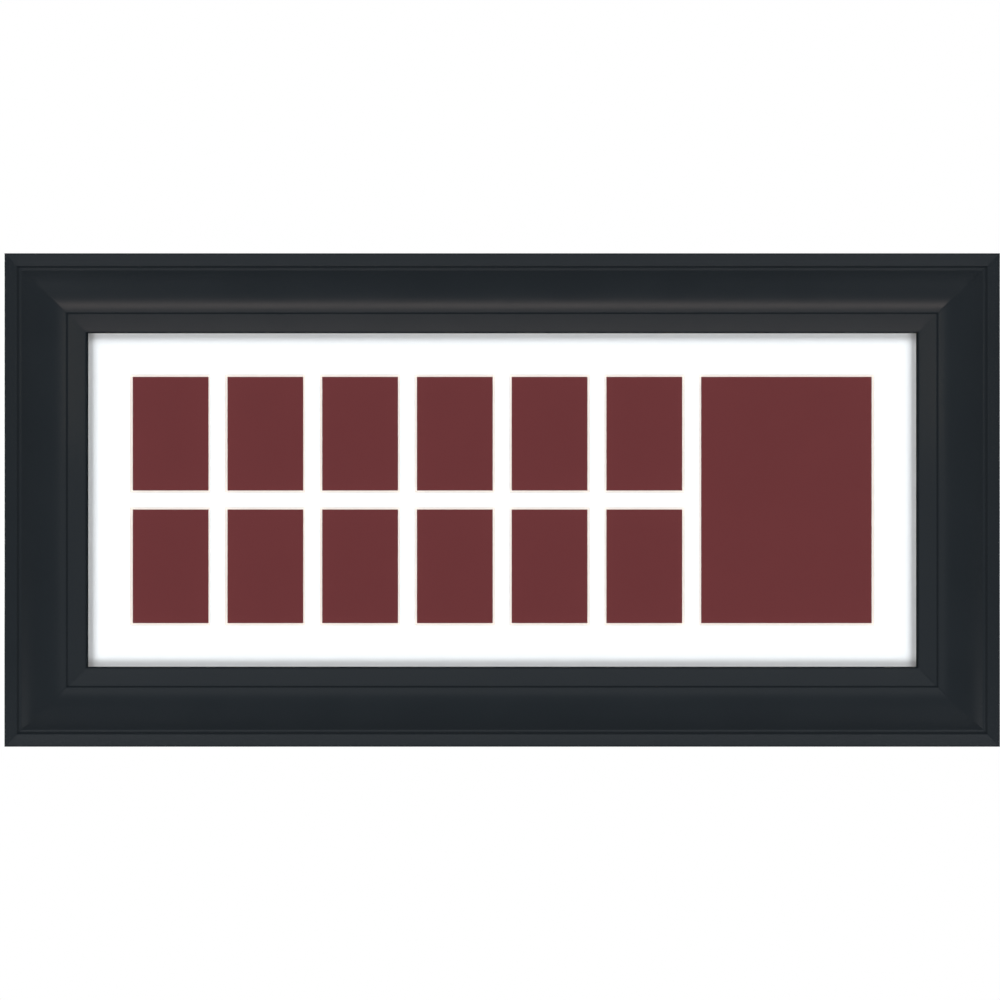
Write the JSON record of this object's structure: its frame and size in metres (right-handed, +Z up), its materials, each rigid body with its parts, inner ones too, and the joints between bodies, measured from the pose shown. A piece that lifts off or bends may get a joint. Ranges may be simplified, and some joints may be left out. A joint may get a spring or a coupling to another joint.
{
  "type": "collage photo frame",
  "caption": "Wide scooped black wooden wall frame with a white collage mat of small openings and one large opening, clear facing, turn-button backing and ring hangers.",
  "frame": {"origin": "on the wall behind the middle of the frame, in the plane of the bumpers' flat ends", "axes": "+X to the right as seen from the front, +Y back into the wall, +Z up"},
  "size_m": [0.6548, 0.0294, 0.3246],
  "materials": {
    "black_lacquered_wood": "satin black lacquer on the face and edges, bare wood on the back and in the rabbet",
    "clear_acrylic": "clear polished sheet",
    "white_mat_board": "matt white facing paper on a cream core",
    "maroon_photo_card": "plain satin print",
    "kraft_board": "matt kraft paper over fluting",
    "zinc_plated_steel": "bright zinc plate",
    "nickel_plated_steel": "nickel plate",
    "bumper_rubber": "matt moulded rubber"
  },
  "bodies": {
    "frame": {"top_rail": "black_lacquered_wood", "bottom_rail": "black_lacquered_wood", "left_rail": "black_lacquered_wood", "right_rail": "black_lacquered_wood", "corner_v_nails": "zinc_plated_steel", "glazing": "clear_acrylic", "collage_mat": "white_mat_board", "photo_card_1_1": "maroon_photo_card", "photo_card_1_2": "maroon_photo_card", "photo_card_1_3": "maroon_photo_card", "photo_card_1_4": "maroon_photo_card", "photo_card_1_5": "maroon_photo_card", "photo_card_1_6": "maroon_photo_card", "photo_card_2_1": "maroon_photo_card", "photo_card_2_2": "maroon_photo_card", "photo_card_2_3": "maroon_photo_card", "photo_card_2_4": "maroon_photo_card", "photo_card_2_5": "maroon_photo_card", "photo_card_2_6": "maroon_photo_card", "large_photo_card": "maroon_photo_card", "backing_board": "kraft_board", "turn_button_screws": "zinc_plated_steel", "left_hanger_strap": "nickel_plated_steel", "right_hanger_strap": "nickel_plated_steel", "hanger_screws": "zinc_plated_steel", "left_bumper": "bumper_rubber", "right_bumper": "bumper_rubber"},
    "turn_button_top_1": {"turn_button_top_1": "zinc_plated_steel"},
    "turn_button_top_2": {"turn_button_top_2": "zinc_plated_steel"},
    "turn_button_top_3": {"turn_button_top_3": "zinc_plated_steel"},
    "turn_button_bottom_1": {"turn_button_bottom_1": "zinc_plated_steel"},
    "turn_button_bottom_2": {"turn_button_bottom_2": "zinc_plated_steel"},
    "turn_button_bottom_3": {"turn_button_bottom_3": "zinc_plated_steel"},
    "turn_button_left_1": {"turn_button_left_1": "zinc_plated_steel"},
    "turn_button_right_1": {"turn_button_right_1": "zinc_plated_steel"},
    "left_hanger_ring": {"left_hanger_ring": "nickel_plated_steel"},
    "right_hanger_ring": {"right_hanger_ring": "nickel_plated_steel"}
  },
  "joints": [
    {"name": "turn_button_top_1_turn", "type": "hinge", "parent": "frame", "child": "turn_button_top_1", "pos_m": [-0.18, -0.00432, 0.1249], "axis": [0, 1, 0], "continuous": true},
    {"name": "turn_button_top_2_turn", "type": "hinge", "parent": "frame", "child": "turn_button_top_2", "pos_m": [0, -0.00432, 0.1249], "axis": [0, 1, 0], "continuous": true},
    {"name": "turn_button_top_3_turn", "type": "hinge", "parent": "frame", "child": "turn_button_top_3", "pos_m": [0.18, -0.00432, 0.1249], "axis": [0, 1, 0], "continuous": true},
    {"name": "turn_button_bottom_1_turn", "type": "hinge", "parent": "frame", "child": "turn_button_bottom_1", "pos_m": [-0.18, -0.00432, -0.1249], "axis": [0, 1, 0], "continuous": true},
    {"name": "turn_button_bottom_2_turn", "type": "hinge", "parent": "frame", "child": "turn_button_bottom_2", "pos_m": [0, -0.00432, -0.1249], "axis": [0, 1, 0], "continuous": true},
    {"name": "turn_button_bottom_3_turn", "type": "hinge", "parent": "frame", "child": "turn_button_bottom_3", "pos_m": [0.18, -0.00432, -0.1249], "axis": [0, 1, 0], "continuous": true},
    {"name": "turn_button_left_1_turn", "type": "hinge", "parent": "frame", "child": "turn_button_left_1", "pos_m": [-0.29, -0.00432, 0], "axis": [0, 1, 0], "continuous": true},
    {"name": "turn_button_right_1_turn", "type": "hinge", "parent": "frame", "child": "turn_button_right_1", "pos_m": [0.29, -0.00432, 0], "axis": [0, 1, 0], "continuous": true},
    {"name": "left_hanger_ring_swing", "type": "hinge", "parent": "frame", "child": "left_hanger_ring", "pos_m": [-0.304, -0.00265, 0.088], "axis": [-1, 0, 0], "range_deg": [0, 170]},
    {"name": "right_hanger_ring_swing", "type": "hinge", "parent": "frame", "child": "right_hanger_ring", "pos_m": [0.304, -0.00265, 0.088], "axis": [-1, 0, 0], "range_deg": [0, 170]}
  ]
}
